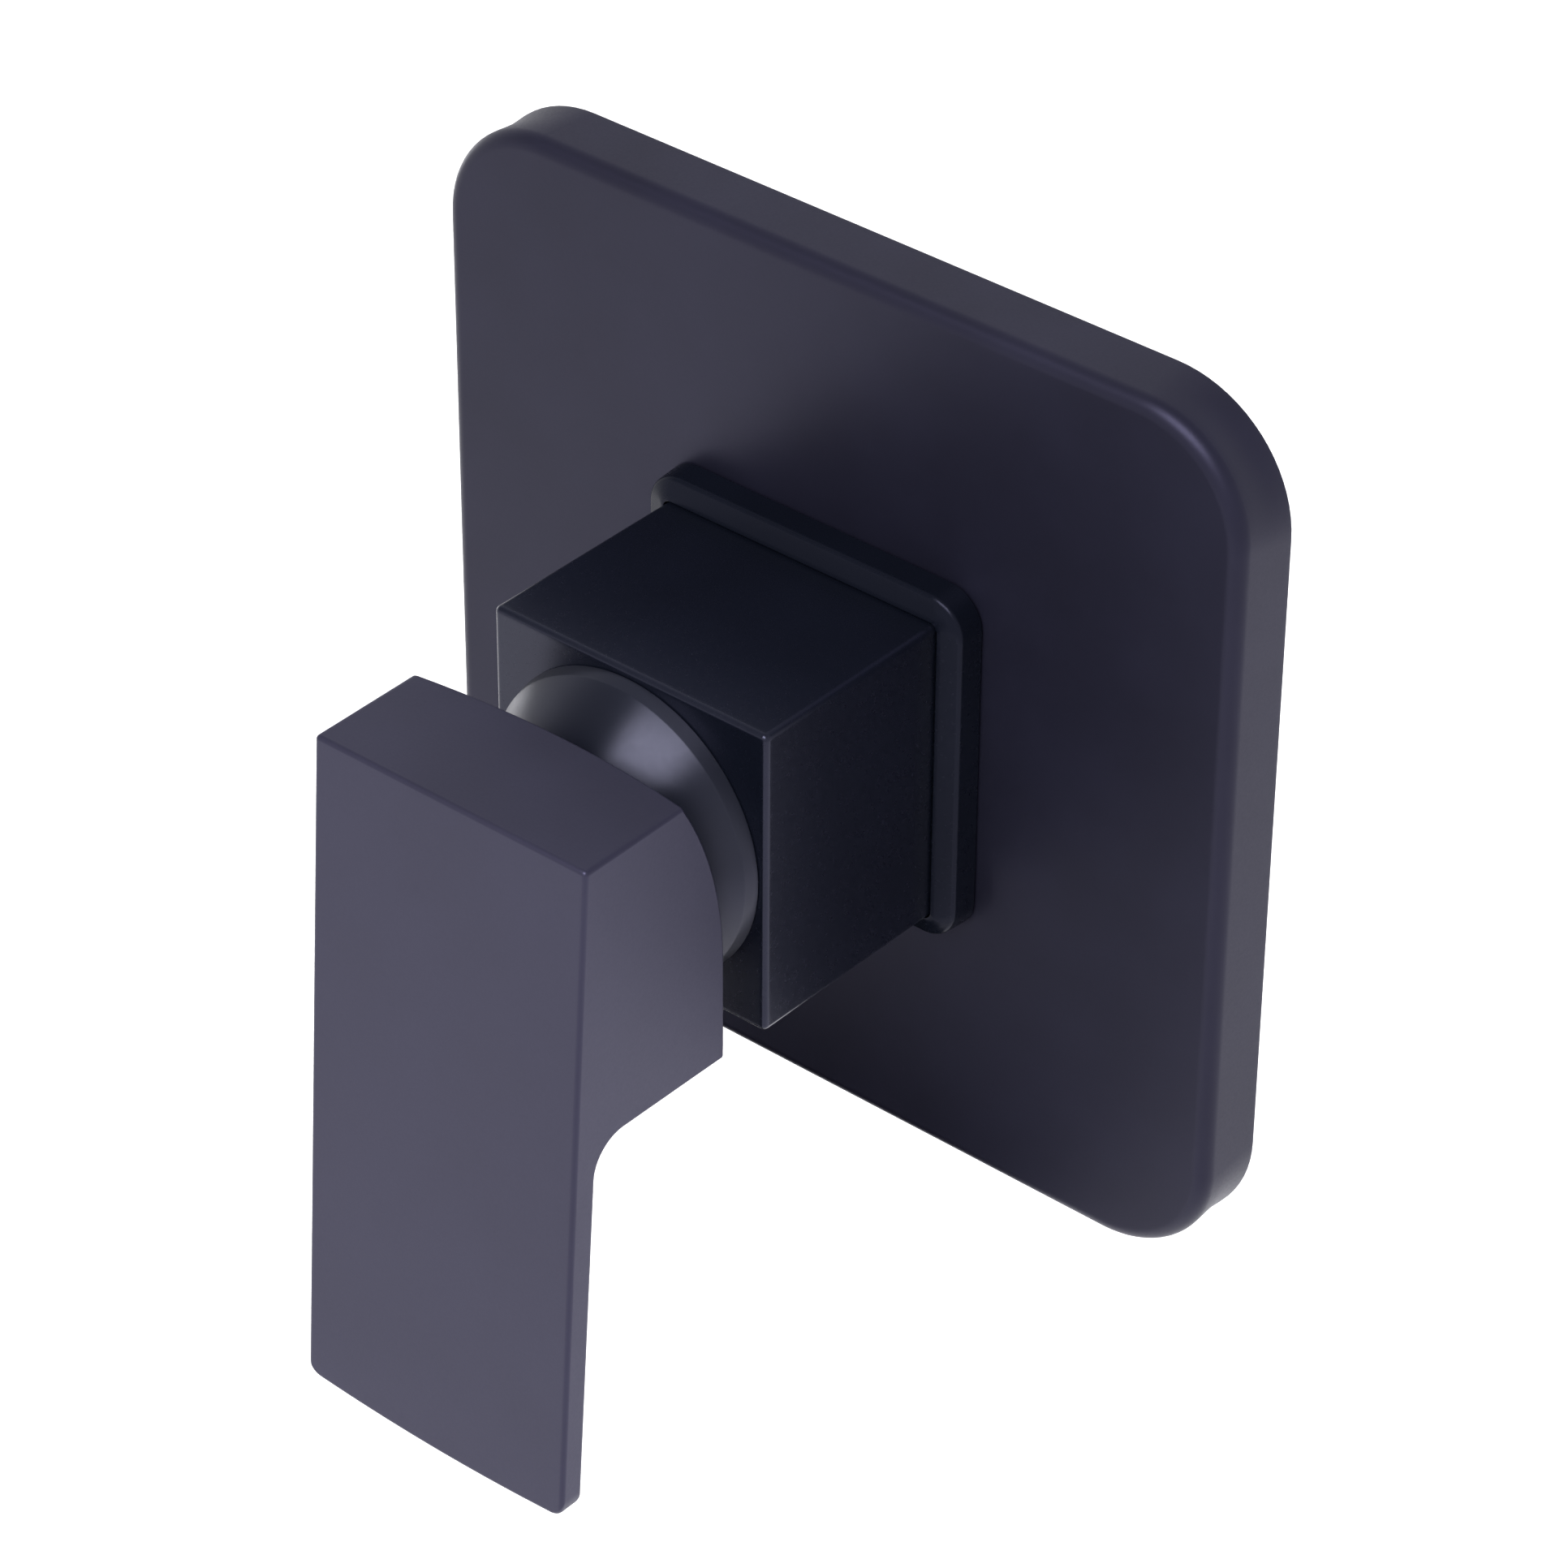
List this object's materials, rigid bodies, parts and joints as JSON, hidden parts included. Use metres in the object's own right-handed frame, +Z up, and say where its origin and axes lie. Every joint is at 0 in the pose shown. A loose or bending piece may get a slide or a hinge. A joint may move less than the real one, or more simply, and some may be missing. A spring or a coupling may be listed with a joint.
{
  "type": "shower mixer",
  "caption": "Concealed single-lever shower mixer: rounded square wall plate, square sleeve, domed cap and a block handle with a flat lever, in matte black.",
  "frame": {"origin": "on the handle's turning axis, in the finished face of the wall, at the centre of the four fixing holes", "axes": "+Z up, -Y straight out of the wall towards the user, +X to the user's right, where the cold inlet is"},
  "size_m": [0.1474, 0.1278, 0.1611],
  "materials": {
    "black_coat": "fine matte black powder coat with a soft sheen",
    "black_plastic": "matte black",
    "seal_rubber": "plain black rubber",
    "body_brass": "plain turned and cast brass",
    "white_plastic": "plain moulded white",
    "red_plastic": "plain moulded red",
    "disc_ceramic": "lapped white ceramic",
    "steel": "plain steel"
  },
  "bodies": {
    "body": {"wall_plate": "black_coat", "plate_gasket": "seal_rubber", "sleeve_collar": "black_coat", "collar_seal": "seal_rubber", "sleeve": "black_coat", "sleeve_o_ring": "seal_rubber", "dome_cap": "black_coat", "mixer_body": "body_brass", "outlet_plug": "body_brass", "outlet_plug_seal": "seal_rubber", "cartridge_housing": "white_plastic", "cartridge_base": "white_plastic", "base_seals": "seal_rubber", "fixed_ceramic_disc": "disc_ceramic", "retaining_nut": "body_brass", "hot_limit_ring": "red_plastic"},
    "turret": {"lever_turret": "white_plastic", "pivot_pin": "steel"},
    "lever": {"handle": "black_coat", "lever_stem": "steel", "grub_screw": "steel", "screw_plug": "black_plastic"},
    "disc": {"moving_ceramic_disc": "disc_ceramic", "disc_carrier": "white_plastic"}
  },
  "joints": [
    {"name": "temperature", "type": "hinge", "parent": "body", "child": "turret", "pos_m": [0, -0.04, 0], "axis": [0, -1, 0], "range_deg": [-45, 45]},
    {"name": "lift", "type": "hinge", "parent": "turret", "child": "lever", "pos_m": [0, -0.04, 0], "axis": [-1, 0, 0], "range_deg": [0, 25]},
    {"name": "disc_travel", "type": "slide", "parent": "turret", "child": "disc", "axis": [0, 0, -1], "range_m": [0, 0.00393]}
  ],
  "couplings": [
    {"joint": "disc_travel", "follows": "lift", "m_per_rad": 0.009}
  ]
}
